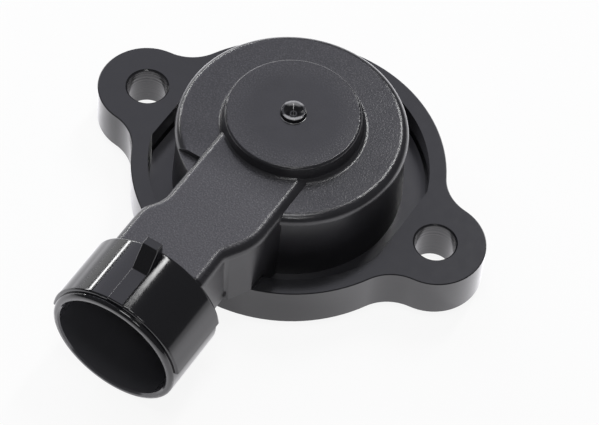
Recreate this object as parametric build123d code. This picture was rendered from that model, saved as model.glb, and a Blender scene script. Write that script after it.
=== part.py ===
from build123d import *
import os
from math import cos, sin, radians, sqrt

# Throttle position sensor, sizes in millimetres. The origin is on the rotor axis in the mounting face.
# The ears lie along X, the connector arm runs along -Y and Z points away from the throttle body.

# Mounting base
hole_spacing = 52.0
hole_d = 6.3
ear_r = 7.7
ear_blend_r = 7.0
base_h = 7.5
flange_r = 24.1
recess_r = 21.5
recess_flat = 20.2
recess_corner_r = 0.9
base_floor = 2.2
edge_break = 0.25

# Cover body
cover_gap = 0.3
cover_flange_top = 3.4
wall_foot_r = 17.7
wall_head_r = 17.1
lip_r = 17.6
lip_under_z = 15.6
annulus_z = 17.2
lip_round = 1.45
disc_z = 20.0
disc_foot_r = 10.75
disc_head_r = 10.25
disc_round = 0.45
disc_foot_round = 0.8
nub_r = 2.0
nub_h = 0.7
nub_round = 0.18
dish_r = 1.5
dish_floor_r = 0.55
cavity_r = 15.4
ceiling_z = 15.4
disc_cavity_r = 8.4
disc_cavity_z = 18.2
notch_y = -12.9
notch_depth = 1.0

# Connector arm
arm_top_z = 18.0
arm_left_x = -8.25
arm_right_x = 7.85
arm_jog_left = 1.9
arm_jog_right = 2.4
neck_gap = 2.2
neck_start_y = -flange_r - neck_gap
jog_left_y1 = neck_start_y - 0.3
jog_left_y0 = jog_left_y1 + 5.6
facet_foot_x = arm_right_x - 1.85
facet_foot_y0 = neck_start_y + 3.25
facet_foot_r = 0.4
neck_draft = 0.35
jog_right_y1 = neck_start_y + 0.25
jog_right_y0 = jog_right_y1 + 4.5
jog_out_r = 9.5
jog_in_r = 2.0
arm_round = 1.6
arm_foot_round = 0.32
arm_start_y = -7.0
seat_gap = 0.05
neck_under_z = 9.45
plate_gap = 0.25
plate_t = 1.9
plate_inset = 0.25

# Connector shroud
shroud_x = -2.65
shroud_z = 9.3
neck_len = 5.7
barrel_len = 11.1
mouth_ring = 0.8
socket_wall = 1.6
shroud_rear_y = neck_start_y - neck_len
shroud_front_y = shroud_rear_y - barrel_len
mouth_y = shroud_front_y - mouth_ring
shroud_r = 11.0
shroud_low_r = 10.45
shroud_step_z = 1.5
socket_r = 9.28
socket_floor_y = shroud_rear_y - socket_wall
tunnel_side = 0.95
tunnel_z0 = neck_under_z
tunnel_y = shroud_rear_y + socket_wall

# Latch on top of the shroud
latch_w = 2.65
latch_pad_z = 20.5
latch_top_z = 23.6
latch_rear_y = shroud_rear_y - 0.9
latch_crest_y = latch_rear_y - 1.4
latch_foot_y = latch_crest_y - 2.6

# Terminals
pin_pitch = 3.6
pin_w = 1.5
pin_t = 0.64
pin_inset = 6.0
pin_tip_y = mouth_y + pin_inset
pin_z = tunnel_z0 + pin_t / 2 + seat_gap
riser_y = -15.2
foot_y = -11.8
pin_fit = 0.02
tunnel_x0 = shroud_x - pin_pitch - tunnel_side
tunnel_x1 = shroud_x + pin_pitch + tunnel_side

# Rotor
hub_r = 7.0
run_fit = 0.05
hub_z0 = 0.5
plate_z0 = 7.6
plate_z1 = 9.2
rotor_plate_r = 12.6
pedestal_r = 4.0
pedestal_z = 13.7
spindle_r = 2.5
spindle_z = 17.6
boss_r = 4.2
boss_z = 14.4
drive_r = 4.6
drive_flat = 6.6
drive_z = 6.5
bearing_r = 8.2
bearing_z = 5.5
lug_r = 14.4
lug_from_deg = 34.0
lug_to_deg = 46.0
travel_deg = 100.0
stop_gap_deg = 0.8

# Resistive element and contacts
board_r = 14.8
board_bore_r = 5.0
board_z0 = 12.6
board_z1 = 13.6
film_t = 0.1
track_from_deg = 10.0
track_to_deg = 150.0
track_r = 12.3
track_w = 1.8
collector_r = 8.0
collector_w = 1.6
line_w = 1.0
track_gap = track_r - track_w / 2 - collector_r - collector_w / 2
stake_ring_r = collector_r + collector_w / 2 + track_gap / 2
stake_clear = 0.25
stake_head_r = track_gap / 2 - stake_clear
stake_r = 0.7 * stake_head_r
stake_fit = 0.1
brush_deg = 60.0
brush_t = 0.25
brush_gap = 0.03
tip_s = -4.2

# Springs and seals
spring_mean_r = 9.1
spring_wire_w = 0.6
spring_wire_h = 0.7
spring_turns = 3.0
washer_t = 0.2
mount_seal_r = 14.6
mount_seal_wire = 0.72
mount_groove_depth = 1.55
seal_side_gap = 0.3
cover_seal_r = 17.6
cover_seal_w = 1.4
cover_seal_h = 0.8


def polar(r, a):
    return (r * cos(radians(a)), r * sin(radians(a)))


def block(x0, x1, y0, y1, z0, z1):
    size = Box(x1 - x0, y1 - y0, z1 - z0)
    return Pos((x0 + x1) / 2, (y0 + y1) / 2, (z0 + z1) / 2) * size


def tube(r_out, r_in, z0, z1):
    return Pos(0, 0, z0) * extrude(Circle(r_out) - Circle(r_in), z1 - z0)


def rod(r, x, y, z0, z1):
    return Pos(x, y, z0) * extrude(Circle(r), z1 - z0)


def sector(r_in, r_out, a0, a1, z0, z1):
    mid = (a0 + a1) / 2
    outer = ThreePointArc(polar(r_out, a0), polar(r_out, mid), polar(r_out, a1))
    side_1 = Line(polar(r_out, a1), polar(r_in, a1))
    inner = ThreePointArc(polar(r_in, a1), polar(r_in, mid), polar(r_in, a0))
    side_0 = Line(polar(r_in, a0), polar(r_out, a0))
    return Pos(0, 0, z0) * extrude(make_face([outer, side_1, inner, side_0]), z1 - z0)


def rounded(face, corners):
    # Rounds the named corners of a flat outline: each entry is x, y and radius.
    for x, y, r in corners:
        near = face.vertices().sort_by_distance((x, y, 0))[0]
        face = fillet(near, r)
    return face


def recess_outline(gap):
    face = Circle(recess_r - gap) & Rectangle(2 * (recess_flat - gap), 4 * recess_r)
    return fillet(face.vertices(), recess_corner_r)


def yz_prism(points, x0, x1):
    # Outline given as y, z pairs, running from x0 to x1.
    frame = Plane(origin=(x0, 0, 0), x_dir=(0, 1, 0), z_dir=(1, 0, 0))
    return extrude(frame * make_face(Polyline(*points, close=True)), x1 - x0)


# Base plate: round flange with two ears, a recess for the cover and the lower rotor bearing.
base = rod(flange_r, 0, 0, 0, base_h)
for side in (-1, 1):
    base += rod(ear_r, side * hole_spacing / 2, 0, 0, base_h)
waist = base.edges().filter_by(Axis.Z).filter_by(lambda e: abs(e.center().Y) > 2.0)
base = fillet(waist, ear_blend_r)
base = chamfer(base.faces().sort_by(Axis.Z)[0].edges(), edge_break)
base = chamfer(base.faces().sort_by(Axis.Z)[-1].edges(), edge_break / 2)
base -= Pos(0, 0, base_floor) * extrude(recess_outline(0), base_h)
base += rod(bearing_r, 0, 0, base_floor, bearing_z)
base -= rod(hub_r + run_fit, 0, 0, -1, base_h)
for side in (-1, 1):
    hole_x = side * hole_spacing / 2
    base -= rod(hole_d / 2, hole_x, 0, -1, base_h + 1)
    rim_break = base.edges().filter_by(GeomType.CIRCLE).sort_by_distance((hole_x, 0, base_h))[0]
    base = chamfer(rim_break, edge_break)
mount_groove = mount_seal_wire + seal_side_gap
base -= tube(mount_seal_r + mount_groove, mount_seal_r - mount_groove, -1, mount_groove_depth)
cover_groove = cover_seal_w / 2 + seal_side_gap
base -= tube(cover_seal_r + cover_groove, cover_seal_r - cover_groove, base_floor - cover_seal_h, base_floor)
anchor_r = 0.7
spring_z0 = base_floor + spring_wire_h / 2 + seat_gap
spring_leg = spring_wire_w / 2 + 0.03
anchor_y = anchor_r + spring_leg + seat_gap
base += rod(anchor_r, spring_mean_r + 2.4, anchor_y, base_floor, base_floor + 2.0)

# Cover: turned body with the annulus, the overhanging lip and the raised centre disc.
body_points = [
    (0, base_floor),
    (wall_foot_r, base_floor),
    (wall_foot_r, cover_flange_top),
    (wall_head_r, lip_under_z),
    (lip_r, lip_under_z),
    (lip_r, annulus_z),
    (disc_foot_r, annulus_z),
    (disc_head_r, disc_z),
    (0, disc_z),
]
body_face = make_face(Polyline(*body_points, close=True))
body_round = [
    (lip_r, lip_under_z, 0.1),
    (lip_r, annulus_z, lip_round),
    (disc_foot_r, annulus_z, disc_foot_round),
    (disc_head_r, disc_z, disc_round),
]
body_face = rounded(body_face, body_round)
cover = revolve(Plane.XZ * body_face, Axis.Z)
cover -= block(-lip_r, arm_left_x + 1, -lip_r, notch_y, annulus_z - notch_depth, annulus_z + 1)
cover += Pos(0, 0, base_floor) * extrude(recess_outline(cover_gap), cover_flange_top - base_floor)

# Arm: both edges jog sideways. The right wall is a flat facet at its foot and a smooth bend at its top.
left_out_x = arm_left_x - arm_jog_left
right_out_x = arm_right_x - arm_jog_right
arm_end_y = shroud_rear_y - 0.6
left_mid = (arm_left_x - arm_jog_left / 2, (jog_left_y0 + jog_left_y1) / 2)
left_edges = [
    Line((arm_right_x, arm_start_y), (arm_left_x, arm_start_y)),
    Line((arm_left_x, arm_start_y), (arm_left_x, jog_left_y0)),
    TangentArc((arm_left_x, jog_left_y0), left_mid, tangent=(0, -1)),
    TangentArc((left_out_x, jog_left_y1), left_mid, tangent=(0, 1)),
    Line((left_out_x, jog_left_y1), (left_out_x, arm_end_y)),
]
foot_points = [
    (left_out_x, arm_end_y),
    (right_out_x, arm_end_y),
    (right_out_x, neck_start_y - 0.15),
    (facet_foot_x, neck_start_y + 0.05),
    (arm_right_x, facet_foot_y0),
    (arm_right_x, arm_start_y),
]
foot_face = make_face(left_edges + [Line(a, b) for a, b in zip(foot_points, foot_points[1:])])
foot_face = rounded(foot_face, [(arm_right_x, facet_foot_y0, facet_foot_r)])
head_x = right_out_x - neck_draft
head_points = [
    (left_out_x, arm_end_y),
    (head_x, arm_end_y),
    (head_x, jog_right_y1),
    (arm_right_x, jog_right_y0),
    (arm_right_x, arm_start_y),
]
head_face = make_face(left_edges + [Line(a, b) for a, b in zip(head_points, head_points[1:])])
head_face = rounded(head_face, [(arm_right_x, jog_right_y0, jog_out_r), (head_x, jog_right_y1, jog_in_r)])
arm_under_z = base_h + seat_gap
arm_head_z = arm_top_z - arm_round - 0.1
arm_top = Pos(0, 0, arm_head_z) * extrude(head_face, arm_top_z - arm_head_z)
arm_rim = arm_top.faces().sort_by(Axis.Z)[-1].edges()
arm_rim = arm_rim.filter_by(lambda e: arm_end_y + 0.1 < e.center().Y < arm_start_y - 0.1)
arm_top = fillet(arm_rim, arm_round)
arm = loft([Pos(0, 0, arm_under_z) * foot_face, Pos(0, 0, arm_head_z) * head_face], ruled=True)
arm += arm_top
arm -= block(2 * left_out_x, 2 * arm_right_x, 2 * arm_end_y, neck_start_y, 0, neck_under_z)
arm_low = Pos(0, 0, base_floor + 0.2) * extrude(foot_face, arm_under_z - base_floor)
arm_low = arm_low & rod(recess_r - 2 * cover_gap, 0, 0, 0, base_h + 1)
cover += arm
cover += arm_low

# Small hollow round where the flat top of the arm meets the wall of the disc.
wall_slope = (disc_foot_r - disc_head_r) / (disc_z - annulus_z)
corner_r = disc_foot_r - wall_slope * (arm_top_z - annulus_z)
sink = 0.02
foot_low = (corner_r + arm_foot_round, arm_top_z - sink)
foot_mid = (corner_r + 0.3 * arm_foot_round, arm_top_z + 0.3 * arm_foot_round)
foot_high = (corner_r - wall_slope * arm_foot_round - sink, arm_top_z + arm_foot_round)
foot_in = corner_r - 2 * arm_foot_round
foot_edges = [
    ThreePointArc(foot_low, foot_mid, foot_high),
    Line(foot_high, (foot_in, arm_top_z + arm_foot_round)),
    Line((foot_in, arm_top_z + arm_foot_round), (foot_in, arm_top_z - sink)),
    Line((foot_in, arm_top_z - sink), foot_low),
]
foot_ring = revolve(Plane.XZ * make_face(foot_edges), Axis.Z)
flat_x0 = arm_left_x + arm_round
flat_x1 = arm_right_x - arm_round
cover += foot_ring & block(flat_x0, flat_x1, -2 * disc_foot_r, 0, annulus_z, disc_z)

# Shroud: the upper part is slightly larger than the lower part, with a rounded mouth ring.
shroud_len = shroud_rear_y - mouth_y
shroud_frame = Plane(origin=(shroud_x, shroud_rear_y, shroud_z), x_dir=(0, -1, 0), z_dir=(-1, 0, 0))
shroud_axis = Axis((shroud_x, 0, shroud_z), (0, -1, 0))
upper_points = [
    (0, 0),
    (0, shroud_r),
    (barrel_len, shroud_r),
    (barrel_len, shroud_low_r),
    (shroud_len, shroud_low_r),
    (shroud_len, 0),
]
upper_face = make_face(Polyline(*upper_points, close=True))
upper_round = [(0, shroud_r, 0.5), (barrel_len, shroud_r, 0.35), (shroud_len, shroud_low_r, 0.6)]
upper_face = rounded(upper_face, upper_round)
upper = revolve(shroud_frame * upper_face, shroud_axis)
step_cut = Box(4 * shroud_r, 4 * shroud_len, 2 * shroud_r, align=(Align.CENTER, Align.CENTER, Align.MIN))
upper = upper & Pos(shroud_x, mouth_y, shroud_z + shroud_step_z) * step_cut
lower_points = [(0, 0), (0, shroud_low_r), (shroud_len, shroud_low_r), (shroud_len, 0)]
lower_face = make_face(Polyline(*lower_points, close=True))
lower_face = rounded(lower_face, [(0, shroud_low_r, 0.4), (shroud_len, shroud_low_r, 0.6)])
cover += revolve(shroud_frame * lower_face, shroud_axis)
cover += upper

# Latch: guide pad, steep ramp and flat crest, centred on the shroud.
latch_low_z = shroud_z + socket_r + 0.6
latch_points = [
    (latch_rear_y, latch_low_z),
    (latch_rear_y, latch_top_z),
    (latch_crest_y, latch_top_z),
    (latch_foot_y, latch_pad_z),
    (shroud_front_y, latch_pad_z),
    (shroud_front_y, latch_low_z),
]
latch = yz_prism(latch_points, shroud_x - latch_w / 2, shroud_x + latch_w / 2)
latch = fillet(latch.edges().filter_by(lambda e: e.center().Z > latch_pad_z - 0.1), 0.2)
cover += latch

# Hollow of the cover, the tunnel for the terminals and the connector socket.
cover -= rod(cavity_r, 0, 0, base_floor - 1, ceiling_z)
cover -= rod(disc_cavity_r, 0, 0, ceiling_z - 1, disc_cavity_z)
cover += tube(cavity_r + 0.4, board_r - 1.2, board_z1, ceiling_z + 0.2)
cover -= block(tunnel_x0, tunnel_x1, tunnel_y, 2 - cavity_r, tunnel_z0, ceiling_z)
socket = revolve(
    shroud_frame * make_face(
        Polyline(
            (shroud_rear_y - socket_floor_y, 0),
            (shroud_rear_y - socket_floor_y, socket_r),
            (shroud_len - 0.25, socket_r),
            (shroud_len, socket_r + 0.25),
            (shroud_len + 1, socket_r + 0.25),
            (shroud_len + 1, 0),
            close=True,
        )
    ),
    shroud_axis,
)
cover -= socket
cover += rod(boss_r, 0, 0, boss_z, disc_cavity_z + 0.2)
cover -= rod(spindle_r + run_fit, 0, 0, boss_z - 1, spindle_z + 0.3)

# Gate nub in the middle of the disc: a low ring round a dish with a small point.
nub_top = disc_z + nub_h
nub_points = [
    (0, disc_z - 0.3),
    (nub_r, disc_z - 0.3),
    (nub_r, disc_z),
    (nub_r - 0.15, nub_top),
    (0, nub_top),
]
nub_face = make_face(Polyline(*nub_points, close=True))
nub_face = rounded(nub_face, [(nub_r - 0.15, nub_top, nub_round)])
cover += revolve(Plane.XZ * nub_face, Axis.Z)
dish_points = [
    (0, nub_top + 1),
    (dish_r, nub_top + 1),
    (dish_r, nub_top),
    (dish_floor_r, disc_z - 0.1),
    (dish_floor_r - 0.2, disc_z - 0.1),
    (0, disc_z + 0.15),
]
cover -= revolve(Plane.XZ * make_face(Polyline(*dish_points, close=True)), Axis.Z)

# Heat stakes that hold the board, and the two travel stops.
for a in (90, 205, 325):
    px, py = polar(stake_ring_r, a)
    cover += rod(stake_r, px, py, board_z0 - 0.2, ceiling_z + 0.2)
    cover += rod(stake_head_r, px, py, board_z0 - 0.5, board_z0)
stop_0 = lug_from_deg - stop_gap_deg
stop_1 = lug_to_deg + travel_deg + stop_gap_deg
cover += sector(rotor_plate_r + cover_gap, cavity_r + 0.4, stop_0 - 9, stop_0, plate_z0 - 0.4, plate_z1 + 3)
cover += sector(rotor_plate_r + cover_gap, cavity_r + 0.4, stop_1, stop_1 + 9, plate_z0 - 0.4, plate_z1 + 3)

# Three blade terminals, bent up to the board inside the cover.
pins = []
for i in (-1, 0, 1):
    px = shroud_x + i * pin_pitch
    z0 = pin_z - pin_t / 2
    z1 = pin_z + pin_t / 2
    top = board_z0 - film_t
    pin_points = [
        (pin_tip_y, z0 + 0.17),
        (pin_tip_y + 0.6, z0),
        (riser_y, z0),
        (riser_y, top - pin_t),
        (foot_y, top - pin_t),
        (foot_y, top),
        (riser_y - pin_t, top),
        (riser_y - pin_t, z1),
        (pin_tip_y + 0.6, z1),
        (pin_tip_y, z1 - 0.17),
    ]
    pins.append(yz_prism(pin_points, px - pin_w / 2, px + pin_w / 2))
    half = pin_w / 2 + pin_fit
    cover -= block(px - half, px + half, socket_floor_y - 1, tunnel_y + 1, z0 - pin_fit, z1 + pin_fit)

# Closing plate under the neck: a raised land meets the neck and leaves an open seam round its edge.
slab_top = neck_under_z - plate_gap
slab_x0 = left_out_x + plate_inset
slab_x1 = right_out_x - plate_inset
slab_y0 = shroud_rear_y + 0.1
neck_plate = block(slab_x0, slab_x1, slab_y0, neck_start_y, slab_top - plate_t, slab_top)
land_edge = 1.0
neck_plate += block(slab_x0 + land_edge, slab_x1 - land_edge, slab_y0, neck_start_y, slab_top, neck_under_z)

# Element board with printed tracks and conductors on its underside.
board = tube(board_r, board_bore_r, board_z0, board_z1)
for a in (90, 205, 325):
    px, py = polar(stake_ring_r, a)
    board -= rod(stake_r + stake_fit, px, py, board_z0 - 1, board_z1 + 1)
film_z0 = board_z0 - film_t
track = sector(track_r - track_w / 2, track_r + track_w / 2, track_from_deg, track_to_deg, film_z0, board_z0)
collector_in = collector_r - collector_w / 2
collector_out = collector_r + collector_w / 2
collector = sector(collector_in, collector_out, track_from_deg, track_to_deg, film_z0, board_z0)
line_in = track_r - line_w / 2
line_out = track_r + line_w / 2
conductor_a = sector(line_in, line_out, track_to_deg, 241, film_z0, board_z0)
conductor_a += sector(line_in, board_r - 0.4, 239, 249, film_z0, board_z0)
conductor_c = sector(line_in, line_out, -82, track_from_deg, film_z0, board_z0)
conductor_c += sector(line_in, board_r - 0.4, -90, -81, film_z0, board_z0)
bus_in = collector_r - line_w / 2
bus_out = collector_r + line_w / 2
conductor_b = sector(bus_in, bus_out, track_to_deg, 257, film_z0, board_z0)
conductor_b += sector(bus_in, board_r - 0.4, 254.5, 262, film_z0, board_z0)

# Rotor: hub with the drive socket below, wiper plate with a stop lug, and the upper spindle.
rotor = rod(hub_r, 0, 0, hub_z0, plate_z0 + 0.1)
rotor += rod(rotor_plate_r, 0, 0, plate_z0, plate_z1)
rotor += sector(rotor_plate_r - 0.5, lug_r, lug_from_deg, lug_to_deg, plate_z0, plate_z1)
rotor += rod(pedestal_r, 0, 0, plate_z1 - 0.1, pedestal_z)
rotor += rod(spindle_r, 0, 0, pedestal_z - 0.1, spindle_z)
drive = Circle(drive_r) & Rectangle(4 * drive_r, drive_flat)
rotor -= Pos(0, 0, hub_z0 - 1) * extrude(drive, drive_z - hub_z0 + 1)
rotor -= rod(0.95 * spring_wire_w, spring_mean_r, 0, plate_z0 - 1, plate_z1 + 1)
collector_x = sqrt(collector_r * collector_r - tip_s * tip_s)
track_x = sqrt(track_r * track_r - tip_s * tip_s)
strip_edge = 0.8
strip_stakes = (0.7 * collector_x + 0.3 * track_x, 0.25 * collector_x + 0.75 * track_x)
stake_s = 0.9
for px in strip_stakes:
    spot = Rot(0, 0, brush_deg) * Pos(px, stake_s, plate_z1 - 0.1)
    rotor += spot * extrude(Circle(0.5), brush_t + 0.3)
    head = Rot(0, 0, brush_deg) * Pos(px, stake_s, plate_z1 + brush_t)
    rotor += head * extrude(Circle(0.85), 0.35)

# Wiper brush: staked strip with two groups of three sprung fingers.
brush = block(collector_x - strip_edge, track_x + strip_edge, -0.6, 2.0, plate_z1, plate_z1 + brush_t)
for px in strip_stakes:
    brush -= rod(0.55, px, stake_s, plate_z0, plate_z1 + 1)
tip_z = board_z0 - film_t - brush_gap
finger_points = [
    (0.0, plate_z1),
    (0.0, plate_z1 + brush_t),
    (-0.7, plate_z1 + brush_t),
    (tip_s + 0.5, tip_z - 0.15),
    (tip_s, tip_z),
    (tip_s - 0.5, tip_z - 0.2),
    (tip_s - 0.5, tip_z - 0.45),
    (tip_s, tip_z - 0.25),
    (tip_s + 0.4, tip_z - 0.4),
    (-0.6, plate_z1),
]
for fx in (collector_x, track_x):
    for off in (-0.6, 0.0, 0.6):
        brush += yz_prism(finger_points, fx + off - 0.2, fx + off + 0.2)
brush = Rot(0, 0, brush_deg) * brush

# Return spring of flat wire, wound round the lower bearing, with one leg to the base and one to the rotor.
spring_z1 = plate_z0 - spring_wire_h / 2 - seat_gap
coil_h = spring_z1 - spring_z0
coil = Helix(pitch=coil_h / spring_turns, height=coil_h, radius=spring_mean_r)
wire = Plane(origin=coil @ 0, x_dir=(1, 0, 0), z_dir=coil % 0) * Rectangle(spring_wire_w, spring_wire_h)
spring = Pos(0, 0, spring_z0) * sweep(wire, path=coil, is_frenet=True)
leg_x0 = spring_mean_r - spring_leg
leg_x1 = spring_mean_r + spring_leg
half_h = spring_wire_h / 2
spring += block(leg_x0, spring_mean_r + 3.0, -spring_leg, spring_leg, spring_z0 - half_h, spring_z0 + half_h)
spring += block(leg_x0, leg_x1, -spring_leg, spring_leg, spring_z1 - half_h, plate_z1 - 0.4)

# Conical spring washer between the rotor shoulder and the bearing boss.
wash_in = spindle_r + 0.35
wash_out = pedestal_r - 0.2
washer_points = [
    (wash_out, pedestal_z),
    (wash_out, pedestal_z + washer_t),
    (wash_in, boss_z),
    (wash_in, boss_z - washer_t),
]
washer = revolve(Plane.XZ * make_face(Polyline(*washer_points, close=True)), Axis.Z)

# Seals: a round ring in the mounting face and a flat ring under the cover flange.
mount_seal_z = mount_groove_depth - mount_seal_wire - seat_gap
mount_seal = Pos(0, 0, mount_seal_z) * Torus(mount_seal_r, mount_seal_wire)
half_w = cover_seal_w / 2
cover_seal = tube(cover_seal_r + half_w, cover_seal_r - half_w, base_floor - cover_seal_h, base_floor)

nodes = {
    "base_plate": base,
    "connector_housing": cover,
    "neck_plate": neck_plate,
    "terminal_a": pins[0],
    "terminal_b": pins[1],
    "terminal_c": pins[2],
    "element_board": board,
    "resistive_track": track,
    "collector_track": collector,
    "conductor_a": conductor_a,
    "conductor_b": conductor_b,
    "conductor_c": conductor_c,
    "rotor": rotor,
    "wiper_brush": brush,
    "return_spring": spring,
    "spring_washer": washer,
    "mount_seal": mount_seal,
    "cover_seal": cover_seal,
}

os.makedirs("parts", exist_ok=True)
for name, shape in nodes.items():
    shape.label = name
    export_step(shape, "parts/" + name + ".step")
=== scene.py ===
import bpy
import math
from mathutils import Matrix, Vector


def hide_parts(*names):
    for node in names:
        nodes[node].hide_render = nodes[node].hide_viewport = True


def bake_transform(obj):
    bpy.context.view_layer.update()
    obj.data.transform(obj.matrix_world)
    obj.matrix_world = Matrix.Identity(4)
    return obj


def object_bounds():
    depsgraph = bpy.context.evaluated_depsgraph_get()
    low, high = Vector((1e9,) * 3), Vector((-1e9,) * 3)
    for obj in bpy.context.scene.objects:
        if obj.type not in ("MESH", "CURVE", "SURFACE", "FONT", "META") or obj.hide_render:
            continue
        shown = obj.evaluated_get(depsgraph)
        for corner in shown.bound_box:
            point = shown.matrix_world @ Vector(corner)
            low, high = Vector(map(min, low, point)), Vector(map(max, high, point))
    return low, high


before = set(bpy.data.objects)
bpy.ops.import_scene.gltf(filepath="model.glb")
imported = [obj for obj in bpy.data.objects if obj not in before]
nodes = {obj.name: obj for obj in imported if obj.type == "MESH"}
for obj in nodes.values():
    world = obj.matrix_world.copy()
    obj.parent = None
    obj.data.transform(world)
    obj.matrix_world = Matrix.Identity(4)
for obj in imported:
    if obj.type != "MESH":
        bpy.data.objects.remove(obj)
cad_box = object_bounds()

MM = 0.001

# Places on the object, in millimetres
EAR_X = 26.0
HOLE_R = 3.15
SHROUD_X = -2.65
SHROUD_Z = 9.3
SHROUD_REAR_Y = -32.0
SOCKET_R = 9.28
NUB_R = 2.0
DISC_Z = 20.0
GRAIN_FROM_Z = 10.0

# Points the lamps aim at, in millimetres
MIDDLE = (0, -10, 10)
BARREL = (SHROUD_X, -38, 20)


# Node helpers

def add(tree, kind, **sockets):
    """A node with its input values set by socket name."""
    node = tree.nodes.new(kind)
    for name, value in sockets.items():
        node.inputs[name.replace("_", " ")].default_value = value
    return node


def join(tree, source, target):
    tree.links.new(source, target)


def math_node(tree, operation, a, b=None):
    """A Math node; a and b are sockets or numbers."""
    node = tree.nodes.new("ShaderNodeMath")
    node.operation = operation
    for i, value in enumerate((a, b)):
        if value is None:
            continue
        if isinstance(value, (int, float)):
            node.inputs[i].default_value = value
        else:
            join(tree, value, node.inputs[i])
    return node.outputs[0]


def times(tree, first, *others):
    """The product of several masks, values or numbers."""
    for value in others:
        first = math_node(tree, "MULTIPLY", first, value)
    return first


def ramp(tree, value, low, high, out_low=0.0, out_high=1.0):
    """Maps value from low..high to out_low..out_high, smoothly and without overshoot."""
    node = tree.nodes.new("ShaderNodeMapRange")
    node.interpolation_type = "SMOOTHSTEP"
    node.inputs["From Min"].default_value = low
    node.inputs["From Max"].default_value = high
    node.inputs["To Min"].default_value = out_low
    node.inputs["To Max"].default_value = out_high
    join(tree, value, node.inputs["Value"])
    return node.outputs["Result"]


def blend(tree, mask, a, b):
    """Mixes two values or two colours by a mask; a and b are sockets, numbers or colours."""
    node = tree.nodes.new("ShaderNodeMix")
    colour = any(isinstance(v, tuple) or getattr(v, "type", "") == "RGBA" for v in (a, b))
    node.data_type = "RGBA" if colour else "FLOAT"
    pick = [s for s in node.inputs if s.enabled and s.name in ("A", "B")]
    for socket, value in zip(pick, (a, b)):
        if isinstance(value, (int, float, tuple)):
            socket.default_value = value
        else:
            join(tree, value, socket)
    join(tree, mask, [s for s in node.inputs if s.enabled and s.name == "Factor"][0])
    return [s for s in node.outputs if s.enabled][0]


def new_group(name, inputs, outputs):
    """An empty shader group with float inputs {name: default} and outputs {name: socket type}."""
    group = bpy.data.node_groups.new(name, "ShaderNodeTree")
    for label, default in inputs.items():
        socket = group.interface.new_socket(name=label, in_out="INPUT", socket_type="NodeSocketFloat")
        socket.default_value = default
    for label, kind in outputs.items():
        group.interface.new_socket(name=label, in_out="OUTPUT", socket_type=kind)
    return group, group.nodes.new("NodeGroupInput"), group.nodes.new("NodeGroupOutput")


def place(tree, group, **values):
    node = tree.nodes.new("ShaderNodeGroup")
    node.node_tree = group
    for name, value in values.items():
        node.inputs[name.replace("_", " ")].default_value = value
    return node


# Shared effects

def spark_grain_group():
    """Fine pitted grain of a spark-eroded mould: a height, a tone and a fleck mask."""
    group, ins, outs = new_group(
        "spark_grain",
        {"Size mm": 0.3, "Mottle mm": 6.0},
        {"Height": "NodeSocketFloat", "Tone": "NodeSocketFloat", "Flecks": "NodeSocketFloat"},
    )
    where = group.nodes.new("ShaderNodeTexCoord").outputs["Object"]
    fine_scale = math_node(group, "DIVIDE", 1000.0, ins.outputs["Size mm"])
    wide_scale = math_node(group, "DIVIDE", 1000.0, ins.outputs["Mottle mm"])
    fine = add(group, "ShaderNodeTexNoise", Detail=3.0, Roughness=0.6)
    pits = group.nodes.new("ShaderNodeTexVoronoi")
    pits.feature = "SMOOTH_F1"
    wide = add(group, "ShaderNodeTexNoise", Detail=4.0, Roughness=0.55)
    for node, scale in ((fine, fine_scale), (pits, fine_scale), (wide, wide_scale)):
        join(group, where, node.inputs["Vector"])
        join(group, scale, node.inputs["Scale"])
    pit_share = 0.6
    height = math_node(group, "ADD", fine.outputs["Fac"], times(group, pits.outputs["Distance"], pit_share))
    join(group, height, outs.inputs["Height"])
    join(group, wide.outputs["Fac"], outs.inputs["Tone"])
    join(group, ramp(group, fine.outputs["Fac"], 0.42, 0.7), outs.inputs["Flecks"])
    return group


def smooth_skin_group():
    """Faint flow waves and handling haze of a smooth moulded or stamped surface."""
    group, ins, outs = new_group(
        "smooth_skin",
        {"Wave mm": 9.0, "Haze mm": 3.0},
        {"Height": "NodeSocketFloat", "Haze": "NodeSocketFloat"},
    )
    where = group.nodes.new("ShaderNodeTexCoord").outputs["Object"]
    wave = add(group, "ShaderNodeTexNoise", Detail=1.5, Roughness=0.4)
    haze = add(group, "ShaderNodeTexNoise", Detail=5.0, Roughness=0.65)
    for node, label in ((wave, "Wave mm"), (haze, "Haze mm")):
        join(group, where, node.inputs["Vector"])
        join(group, math_node(group, "DIVIDE", 1000.0, ins.outputs[label]), node.inputs["Scale"])
    join(group, wave.outputs["Fac"], outs.inputs["Height"])
    join(group, haze.outputs["Fac"], outs.inputs["Haze"])
    return group


spark_grain = spark_grain_group()
smooth_skin = smooth_skin_group()


def new_material(name):
    material = bpy.data.materials.new(name)
    material.use_nodes = True
    tree = material.node_tree
    tree.nodes.clear()
    surface = tree.nodes.new("ShaderNodeBsdfPrincipled")
    end = tree.nodes.new("ShaderNodeOutputMaterial")
    join(tree, surface.outputs["BSDF"], end.inputs["Surface"])
    return material, tree, surface


def bump(tree, surface, height, strength, depth_mm):
    node = add(tree, "ShaderNodeBump", Strength=strength, Distance=depth_mm * MM)
    join(tree, height, node.inputs["Height"])
    join(tree, node.outputs["Normal"], surface.inputs["Normal"])


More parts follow.
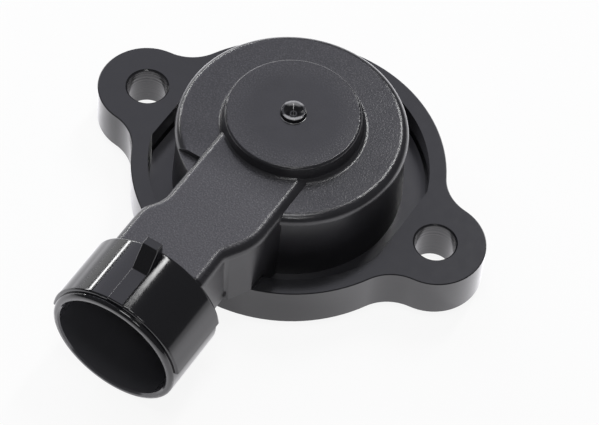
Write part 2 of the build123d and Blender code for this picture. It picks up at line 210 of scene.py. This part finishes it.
def spot_distance(tree, coords, x, y, z, use_y=True, use_z=False):
    """Distance of the surface from a point, or from a line through it, in metres."""
    shift = tree.nodes.new("ShaderNodeVectorMath")
    shift.operation = "SUBTRACT"
    join(tree, coords, shift.inputs[0])
    shift.inputs[1].default_value = (x * MM, y * MM, z * MM)
    flat = tree.nodes.new("ShaderNodeVectorMath")
    flat.operation = "MULTIPLY"
    join(tree, shift.outputs[0], flat.inputs[0])
    flat.inputs[1].default_value = (1.0, float(use_y), float(use_z))
    size = tree.nodes.new("ShaderNodeVectorMath")
    size.operation = "LENGTH"
    join(tree, flat.outputs[0], size.inputs[0])
    return size.outputs["Value"]


def torn_gate(tree, where, up, from_axis):
    """Mask of painted highlight arcs on the gate nub, on two opposite sides along one fixed direction, only
    where the surface faces up.
    """
    glint_axis_x, glint_axis_y = 0.47, -0.88
    along_x = times(tree, where.outputs["X"], glint_axis_x)
    across = math_node(tree, "ADD", along_x, times(tree, where.outputs["Y"], glint_axis_y))
    sides = ramp(tree, math_node(tree, "ABSOLUTE", across), 0.75 * MM, 1.25 * MM)
    ring = ramp(tree, from_axis, 1.0 * MM, 1.3 * MM)
    return times(tree, sides, ring, ramp(tree, up, 0.45, 0.65))


def housing_regions(tree):
    """Masks from 0 to 1 over the housing, by place and by the way the surface faces."""
    layout = tree.nodes.new("ShaderNodeTexCoord")
    coords = layout.outputs["Object"]
    where = add(tree, "ShaderNodeSeparateXYZ")
    join(tree, coords, where.inputs["Vector"])
    facing = add(tree, "ShaderNodeSeparateXYZ")
    join(tree, layout.outputs["Normal"], facing.inputs["Vector"])
    y, z, up = where.outputs["Y"], where.outputs["Z"], facing.outputs["Z"]
    from_axis = spot_distance(tree, coords, 0, 0, 0)
    from_shroud = spot_distance(tree, coords, SHROUD_X, 0, SHROUD_Z, use_y=False, use_z=True)
    high_up = ramp(tree, z, GRAIN_FROM_Z * MM, (GRAIN_FROM_Z + 2.0) * MM)
    on_disc = ramp(tree, z, (DISC_Z - 1.0) * MM, (DISC_Z - 0.6) * MM)
    region = {
        "wall": ramp(tree, up, 0.5, 0.2),
        "top": times(tree, high_up, ramp(tree, up, 0.86, 0.985)),
        "arm": ramp(tree, y, -10.0 * MM, -16.0 * MM),
        "shroud": ramp(tree, y, (SHROUD_REAR_Y + 0.3) * MM, SHROUD_REAR_Y * MM),
        "nub": ramp(tree, from_axis, (NUB_R + 0.15) * MM, NUB_R * MM),
        # middle of the disc top: smoother grain, with few painted glint flecks, which paints it darker
        "smooth_disc_middle": times(tree, on_disc, ramp(tree, from_axis, 9.5 * MM, 5.5 * MM)),
    }
    inside = ramp(tree, from_shroud, (SOCKET_R + 0.62) * MM, (SOCKET_R + 0.12) * MM)
    region["socket"] = times(tree, region["shroud"], inside)
    region["polished"] = math_node(tree, "MAXIMUM", region["shroud"], region["nub"])
    # painted highlight arcs on the gate nub
    region["torn"] = times(tree, torn_gate(tree, where, up, from_axis), region["nub"], on_disc)
    return region


def housing_roughness(tree, region, grain, skin):
    """Satin grain, rougher on arm and walls, smoother mid-disc, polished on shroud and nub."""
    coat = blend(tree, grain.outputs["Tone"], 0.18, 0.25)
    coat = math_node(tree, "ADD", coat, times(tree, region["arm"], 0.05))
    coat = blend(tree, region["smooth_disc_middle"], coat, 0.18)
    coat = blend(tree, region["wall"], coat, 0.34)
    sheen = blend(tree, skin.outputs["Haze"], 0.07, 0.15)
    return blend(tree, region["polished"], coat, sheen)


def housing_colour(tree, region, grain):
    """Near black, with painted light: pale flecks in the grain of the top faces only, as painted glints of
    grain lit from above, paler on the arm, a painted sheen on the arm's top faces, and painted highlight
    arcs on the gate nub.
    """
    tone = blend(tree, grain.outputs["Tone"], (0.016, 0.016, 0.0185, 1), (0.028, 0.0275, 0.032, 1))
    # painted glints: pale grain flecks only on faces turned up, few on the smooth middle of the disc
    glint_flecks = times(tree, grain.outputs["Flecks"], blend(tree, region["smooth_disc_middle"], region["top"], 0.12))
    # painted sheen: the arm's top faces are made paler, as if light catches them
    arm_top_sheen = times(tree, region["arm"], region["top"])
    tone = blend(tree, arm_top_sheen, tone, (0.042, 0.0412, 0.047, 1))
    # colour of the painted glints, paler on the arm
    pale = blend(tree, region["arm"], (0.052, 0.051, 0.058, 1), (0.085, 0.083, 0.094, 1))
    grained = blend(tree, glint_flecks, tone, pale)
    gloss = blend(tree, region["socket"], (0.011, 0.011, 0.013, 1), (0.07, 0.07, 0.078, 1))
    # painted highlight: pale arcs on the gate nub
    gloss = blend(tree, region["torn"], gloss, (0.34, 0.34, 0.35, 1))
    return blend(tree, region["polished"], grained, gloss)


def housing_relief(tree, region, grain, skin):
    """Pits on the top faces, fainter on walls and on the smoother middle of the disc, and waves on the
    polished places.
    """
    depth = ramp(tree, region["top"], 0.0, 1.0, 0.35, 1.0)
    pits = times(tree, grain.outputs["Height"], blend(tree, region["smooth_disc_middle"], depth, 0.25))
    ripple = place(tree, spark_grain, Size_mm=0.7, Mottle_mm=5.0).outputs["Height"]
    waves = math_node(tree, "ADD", times(tree, skin.outputs["Height"], 0.08), times(tree, ripple, 0.03))
    waves = blend(tree, region["nub"], waves, times(tree, ripple, 0.8))
    return blend(tree, region["polished"], pits, waves)


def housing_material():
    """Black glass-filled moulding: grain on cover and arm, polished on the shroud and the gate nub."""
    material, tree, surface = new_material("housing_black")
    region = housing_regions(tree)
    grain = place(tree, spark_grain, Size_mm=0.25, Mottle_mm=4.0)
    skin = place(tree, smooth_skin, Wave_mm=7.0, Haze_mm=2.5)
    join(tree, housing_roughness(tree, region, grain, skin), surface.inputs["Roughness"])
    join(tree, housing_colour(tree, region, grain), surface.inputs["Base Color"])
    bump(tree, surface, housing_relief(tree, region, grain, skin), 0.55, 0.045)
    return material


def base_material():
    """Smooth satin black moulding, with faint draw lines in the ear holes."""
    material, tree, surface = new_material("base_satin_black")
    coords = tree.nodes.new("ShaderNodeTexCoord").outputs["Object"]
    where = add(tree, "ShaderNodeSeparateXYZ")
    join(tree, coords, where.inputs["Vector"])
    skin = place(tree, smooth_skin, Wave_mm=11.0, Haze_mm=1.6)
    join(tree, blend(tree, skin.outputs["Haze"], 0.12, 0.2), surface.inputs["Roughness"])
    tone = blend(tree, skin.outputs["Haze"], (0.009, 0.009, 0.0105, 1), (0.015, 0.015, 0.0175, 1))
    left = spot_distance(tree, coords, -EAR_X, 0, 0)
    right = spot_distance(tree, coords, EAR_X, 0, 0)
    nearest = math_node(tree, "MINIMUM", left, right)
    bore = ramp(tree, nearest, (HOLE_R + 0.15) * MM, (HOLE_R + 0.05) * MM)
    join(tree, blend(tree, bore, tone, (0.02, 0.02, 0.023, 1)), surface.inputs["Base Color"])
    lines = add(tree, "ShaderNodeTexNoise", Scale=2600.0, Detail=2.0)
    lines.noise_dimensions = "1D"
    join(tree, where.outputs["Z"], lines.inputs["W"])
    draw_lines = times(tree, bore, lines.outputs["Fac"])
    bump(tree, surface, math_node(tree, "ADD", skin.outputs["Height"], draw_lines), 0.25, 0.1)
    return material


def smooth_material(name, dark, pale, rough_low, rough_high, metallic=0.0, haze_mm=0.8):
    """Smooth finish with a faint haze between two tones."""
    material, tree, surface = new_material(name)
    skin = place(tree, smooth_skin, Wave_mm=5.0, Haze_mm=haze_mm)
    join(tree, blend(tree, skin.outputs["Haze"], rough_low, rough_high), surface.inputs["Roughness"])
    join(tree, blend(tree, skin.outputs["Haze"], dark + (1,), pale + (1,)), surface.inputs["Base Color"])
    surface.inputs["Metallic"].default_value = metallic
    bump(tree, surface, skin.outputs["Height"], 0.3, 0.03)
    return material


def dress(material, *names):
    """Gives one finish to the nodes named."""
    for name in names:
        mesh = nodes[name].data
        mesh.materials.clear()
        mesh.materials.append(material)


dress(housing_material(), "connector_housing")
dress(base_material(), "base_plate")
dress(
    smooth_material("neck_plate_black", (0.014, 0.014, 0.016), (0.024, 0.024, 0.027), 0.25, 0.4),
    "neck_plate",
)
dress(
    smooth_material("tinned_brass", (0.55, 0.53, 0.49), (0.7, 0.68, 0.63), 0.22, 0.4, 1.0, 0.4),
    "terminal_a", "terminal_b", "terminal_c",
)
dress(
    smooth_material("phenolic_board", (0.24, 0.16, 0.06), (0.36, 0.26, 0.11), 0.4, 0.6, haze_mm=0.5),
    "element_board",
)
dress(
    smooth_material("carbon_film", (0.012, 0.012, 0.013), (0.03, 0.03, 0.032), 0.35, 0.6, haze_mm=0.2),
    "resistive_track",
)
dress(
    smooth_material("silver_film", (0.5, 0.49, 0.46), (0.66, 0.64, 0.6), 0.3, 0.5, 1.0, 0.2),
    "collector_track", "conductor_a", "conductor_b", "conductor_c",
)
dress(smooth_material("rotor_black", (0.03, 0.03, 0.031), (0.05, 0.05, 0.052), 0.35, 0.5), "rotor")
dress(
    smooth_material("spring_alloy", (0.6, 0.45, 0.22), (0.75, 0.6, 0.35), 0.2, 0.35, 1.0, 0.3),
    "wiper_brush",
)
dress(
    smooth_material("spring_steel", (0.36, 0.36, 0.37), (0.5, 0.5, 0.51), 0.25, 0.45, 1.0, 0.3),
    "return_spring", "spring_washer",
)
dress(
    smooth_material("seal_rubber", (0.012, 0.012, 0.012), (0.03, 0.03, 0.03), 0.55, 0.8, haze_mm=0.4),
    "mount_seal", "cover_seal",
)


# Return spring, which winds up between the base and the rotor on the real part; here a fixed copy

def twisting_spring():
    """The spring's own wire, copied into an object of its own in the same place, with the original node
    hidden.
    """
    spring = bpy.data.objects.new("return_spring_wire", nodes["return_spring"].data.copy())
    bpy.context.scene.collection.objects.link(spring)
    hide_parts("return_spring")
    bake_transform(spring)


twisting_spring()


# Floor, light and camera

def pale_floor():
    """White paper just under the object, clear from below. For reflections it glows, with a painted pool of
    light near the object and painted shadows left and right of the barrel.
    """
    reach = 3.0
    z = cad_box[0][2] - 0.02 * MM
    corners = [(-reach, -reach, z), (reach, -reach, z), (reach, reach, z), (-reach, reach, z)]
    mesh = bpy.data.meshes.new("studio_floor")
    mesh.from_pydata(corners, [], [(0, 1, 2, 3)])
    floor = bpy.data.objects.new("studio_floor", mesh)
    bpy.context.scene.collection.objects.link(floor)
    material = bpy.data.materials.new("white_paper")
    material.use_nodes = True
    tree = material.node_tree
    tree.nodes.clear()
    paper = add(tree, "ShaderNodeBsdfDiffuse", Color=(0.9, 0.9, 0.9, 1))
    white = add(tree, "ShaderNodeEmission", Color=(1, 1, 1, 1), Strength=1.0)
    path = tree.nodes.new("ShaderNodeLightPath")
    seen = math_node(tree, "MAXIMUM", path.outputs["Is Camera Ray"], path.outputs["Is Transmission Ray"])
    mix = tree.nodes.new("ShaderNodeMixShader")
    white_share = 0.9
    join(tree, times(tree, seen, white_share), mix.inputs["Fac"])
    join(tree, paper.outputs["BSDF"], mix.inputs[1])
    join(tree, white.outputs["Emission"], mix.inputs[2])
    glow = add(tree, "ShaderNodeEmission", Color=(1.0, 0.985, 1.03, 1))
    coords = tree.nodes.new("ShaderNodeTexCoord").outputs["Object"]
    # painted light in the glow seen in reflections: brighter near the object, with painted shadows beside
    # the barrel
    glow_pool_near_object = ramp(tree, spot_distance(tree, coords, 0, -15, 0), 40 * MM, 160 * MM, 1.25, 0.4)
    painted_shadow_left_of_barrel = ramp(tree, spot_distance(tree, coords, -40, -26, 0), 8 * MM, 32 * MM, 0.35, 1.0)
    painted_shadow_right_of_barrel = ramp(tree, spot_distance(tree, coords, 10, -33, 0), 8 * MM, 36 * MM, 0.6, 1.0)
    level = times(tree, glow_pool_near_object, painted_shadow_left_of_barrel, painted_shadow_right_of_barrel, path.outputs["Is Glossy Ray"])
    join(tree, level, glow.inputs["Strength"])
    both = tree.nodes.new("ShaderNodeAddShader")
    join(tree, mix.outputs["Shader"], both.inputs[0])
    join(tree, glow.outputs["Emission"], both.inputs[1])
    below = tree.nodes.new("ShaderNodeMixShader")
    join(tree, tree.nodes.new("ShaderNodeNewGeometry").outputs["Backfacing"], below.inputs["Fac"])
    join(tree, both.outputs["Shader"], below.inputs[1])
    join(tree, tree.nodes.new("ShaderNodeBsdfTransparent").outputs["BSDF"], below.inputs[2])
    end = tree.nodes.new("ShaderNodeOutputMaterial")
    join(tree, below.outputs["Shader"], end.inputs["Surface"])
    mesh.materials.append(material)


def studio_world():
    """A dim room for the light, white where the camera looks past the floor."""
    world = bpy.data.worlds.new("studio")
    bpy.context.scene.world = world
    world.use_nodes = True
    tree = world.node_tree
    tree.nodes.clear()
    room = add(tree, "ShaderNodeBackground", Color=(1, 1, 1, 1), Strength=0.12)
    white = add(tree, "ShaderNodeBackground", Color=(1, 1, 1, 1), Strength=1.0)
    path = tree.nodes.new("ShaderNodeLightPath")
    seen = math_node(tree, "MAXIMUM", path.outputs["Is Camera Ray"], path.outputs["Is Transmission Ray"])
    mix = tree.nodes.new("ShaderNodeMixShader")
    join(tree, seen, mix.inputs["Fac"])
    join(tree, room.outputs["Background"], mix.inputs[1])
    join(tree, white.outputs["Background"], mix.inputs[2])
    end = tree.nodes.new("ShaderNodeOutputWorld")
    join(tree, mix.outputs["Shader"], end.inputs["Surface"])


def area_light(name, aim_mm, direction, distance, along, length, width, radiance, colour=(1, 1, 1)):
    """A rectangular lamp facing a point of the object. along is the way its length runs."""
    aim = Vector(aim_mm) * MM
    away = Vector(direction).normalized()
    lamp = bpy.data.lights.new(name, "AREA")
    lamp.shape = "RECTANGLE"
    lamp.size = length
    lamp.size_y = width
    lamp.energy = radiance * math.pi * length * width
    lamp.color = colour
    holder = bpy.data.objects.new(name, lamp)
    x_axis = (Vector(along) - away * Vector(along).dot(away)).normalized()
    y_axis = away.cross(x_axis)
    spot = aim + away * distance
    holder.matrix_world = Matrix((
        (x_axis.x, y_axis.x, away.x, spot.x),
        (x_axis.y, y_axis.y, away.y, spot.y),
        (x_axis.z, y_axis.z, away.z, spot.z),
        (0, 0, 0, 1),
    ))
    bpy.context.scene.collection.objects.link(holder)


def photo_camera():
    """The photograph's viewpoint, worked out for a 599 by 425 picture."""
    right = Vector((0.8443, 0.5330, 0.0556))
    up = Vector((-0.4617, 0.6708, 0.5804))
    back = Vector((0.2720, -0.5157, 0.8125))
    spot = Vector((124.47, -231.04, 360.54)) * MM
    lens = bpy.data.cameras.new("photo_camera")
    lens.sensor_fit = "HORIZONTAL"
    lens.sensor_width = 36.0
    lens.lens = 173.55
    lens.clip_start = 0.01
    camera = bpy.data.objects.new("photo_camera", lens)
    camera.matrix_world = Matrix((
        (right.x, up.x, back.x, spot.x),
        (right.y, up.y, back.y, spot.y),
        (right.z, up.z, back.z, spot.z),
        (0, 0, 0, 1),
    ))
    bpy.context.scene.collection.objects.link(camera)
    bpy.context.scene.camera = camera


pale_floor()
studio_world()
area_light(
    "back_panel", MIDDLE, (-0.53, 0.49, 0.69), 0.7,
    along=(0.72, 0.0, 0.46), length=0.62, width=0.6, radiance=0.97, colour=(0.95, 0.95, 1.08),
)
area_light(
    "overhead_box", MIDDLE, (0.05, -0.08, 1.0), 0.7,
    along=(1, 0, 0), length=0.22, width=0.22, radiance=8.0,
)
area_light(
    "front_lamp", MIDDLE, (0.37, -0.467, 0.803), 0.7,
    along=(1, 0, 0), length=0.12, width=0.12, radiance=10.0,
)
area_light(
    "right_strip", BARREL, (0.0, 0.672, 0.741), 0.7,
    along=(0, 0.741, -0.672), length=0.34, width=0.06, radiance=24.0,
)
area_light(
    "left_strip", BARREL, (-0.84, 0.47, 0.29), 0.7,
    along=(0.444, 0.888, -0.153), length=0.6, width=0.032, radiance=26.0,
)
area_light(
    "left_card", BARREL, (-0.88, 0.47, 0.1), 0.72,
    along=(0.47, 0.88, 0.0), length=0.6, width=0.17, radiance=1.4,
)
photo_camera()
bpy.context.scene.view_settings.view_transform = "Standard"
